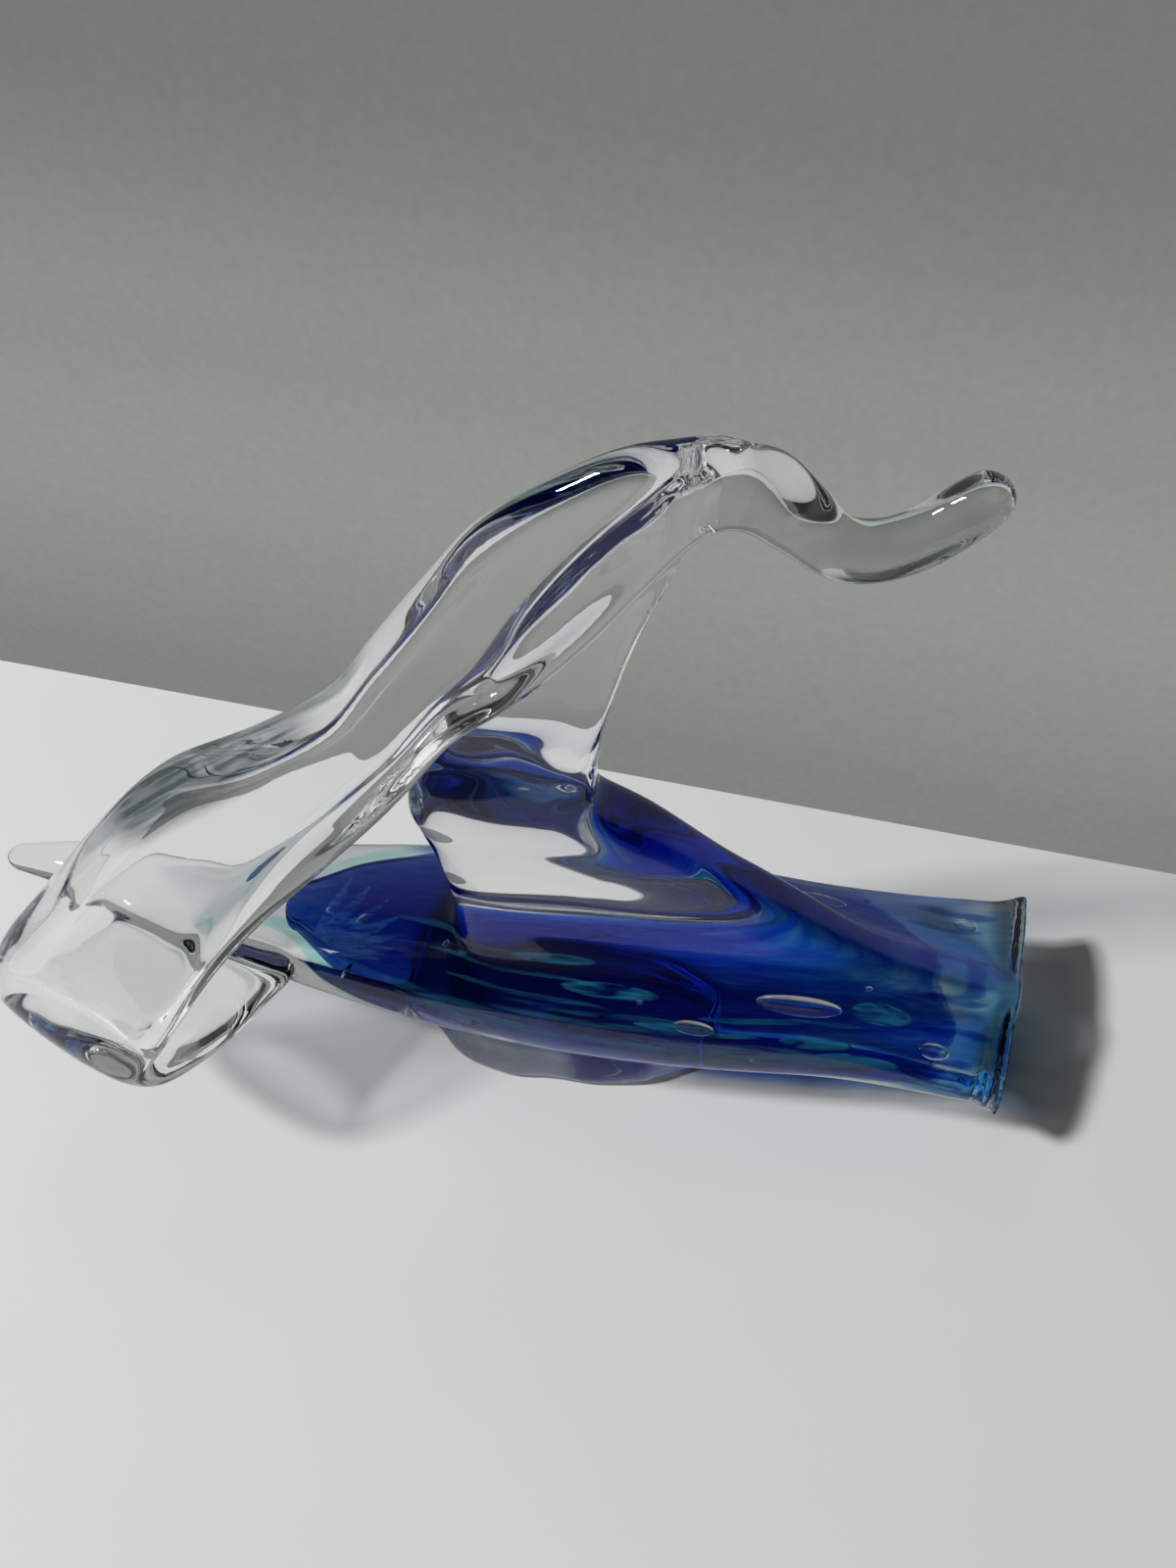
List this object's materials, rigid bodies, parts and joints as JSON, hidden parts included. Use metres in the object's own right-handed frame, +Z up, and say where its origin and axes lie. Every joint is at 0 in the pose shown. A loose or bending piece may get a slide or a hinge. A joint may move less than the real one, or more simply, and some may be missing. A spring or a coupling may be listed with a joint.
{
  "type": "art glass sailboat",
  "caption": "Hot-worked glass sailboat: cobalt core with a paler heart in a clear hull with a crimped stern, on a clear foot, with an upright mainsail and a folded jib ribbon meeting in a twisted pennant.",
  "frame": {"origin": "centre of the foot's ground face, on the surface that the boat stands on", "axes": "+Z up, +X from the bow towards the transom, +Y to starboard, so -Y is port, where the jib folds out"},
  "size_m": [0.2551, 0.088, 0.1838],
  "materials": {
    "casing_glass": "fire-polished clear glass",
    "cobalt_glass": "deep cobalt glass with paler streaks",
    "heart_glass": "paler slate blue glass with fine lengthwise streaks",
    "aqua_glass": "pale aqua glass",
    "foot_glass": "tooled clear glass, ground flat below",
    "sail_glass": "fire-polished clear glass"
  },
  "bodies": {
    "root": {"hull_casing": "casing_glass", "hull_core": "cobalt_glass", "core_heart": "heart_glass", "aqua_streak_port": "aqua_glass", "aqua_streak_starboard": "aqua_glass", "foot_pad": "foot_glass", "mainsail": "sail_glass", "jib": "sail_glass", "masthead_pennant": "sail_glass"}
  },
  "joints": []
}
